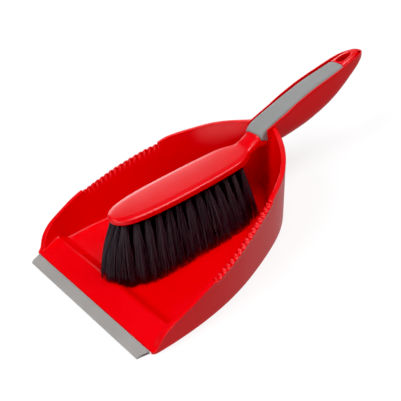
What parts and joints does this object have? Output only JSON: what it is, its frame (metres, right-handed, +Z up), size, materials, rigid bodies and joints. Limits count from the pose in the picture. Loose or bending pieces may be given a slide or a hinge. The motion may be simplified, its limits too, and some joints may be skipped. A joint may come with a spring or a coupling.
{
  "type": "dust pan and brush set",
  "caption": "Hand dustpan with a soft lip, ridged ramp, combed rims and a channel handle that holds a flared hand brush with a soft grip and a hanging hole.",
  "frame": {"origin": "on the floor, at the centre of the footprint, midway between the lip's front edge and the tip of the pan's handle", "axes": "+X across the mouth to the right seen from behind the lip, +Y from the lip towards the handle, +Z up"},
  "size_m": [0.2342, 0.4174, 0.097],
  "materials": {
    "pan_plastic": "satin moulded polypropylene, bright red",
    "lip_rubber": "matt warm grey elastomer",
    "brush_plastic": "semi-gloss moulded polypropylene, bright red",
    "grip_rubber": "matt cool grey soft-touch elastomer",
    "bristle": "near-black crimped synthetic bristle"
  },
  "bodies": {
    "pan": {"dustpan": "pan_plastic", "rubber_lip": "lip_rubber"},
    "brush": {"brush_block": "brush_plastic", "soft_grip": "grip_rubber", "tuft_01_a": "bristle", "tuft_01_b": "bristle", "tuft_01_c": "bristle", "tuft_01_d": "bristle", "tuft_02_a": "bristle", "tuft_02_b": "bristle", "tuft_02_c": "bristle", "tuft_02_d": "bristle", "tuft_03_a": "bristle", "tuft_03_b": "bristle", "tuft_03_c": "bristle", "tuft_03_d": "bristle", "tuft_04_a": "bristle", "tuft_04_b": "bristle", "tuft_04_c": "bristle", "tuft_04_d": "bristle", "tuft_05_a": "bristle", "tuft_05_b": "bristle", "tuft_05_c": "bristle", "tuft_05_d": "bristle", "tuft_06_a": "bristle", "tuft_06_b": "bristle", "tuft_06_c": "bristle", "tuft_06_d": "bristle", "tuft_07_a": "bristle", "tuft_07_b": "bristle", "tuft_07_c": "bristle", "tuft_07_d": "bristle", "tuft_08_a": "bristle", "tuft_08_b": "bristle", "tuft_08_c": "bristle", "tuft_08_d": "bristle", "tuft_09_a": "bristle", "tuft_09_b": "bristle", "tuft_09_c": "bristle", "tuft_09_d": "bristle", "tuft_10_a": "bristle", "tuft_10_b": "bristle", "tuft_10_c": "bristle", "tuft_10_d": "bristle", "tuft_11_a": "bristle", "tuft_11_b": "bristle", "tuft_11_c": "bristle", "tuft_11_d": "bristle", "tuft_12_a": "bristle", "tuft_12_b": "bristle", "tuft_12_c": "bristle", "tuft_12_d": "bristle", "tuft_13_a": "bristle", "tuft_13_b": "bristle", "tuft_13_c": "bristle", "tuft_13_d": "bristle"}
  },
  "joints": [
    {"name": "brush_lift", "type": "slide", "parent": "pan", "child": "brush", "axis": [0, 0, 1], "range_m": [0, 0.12]}
  ]
}
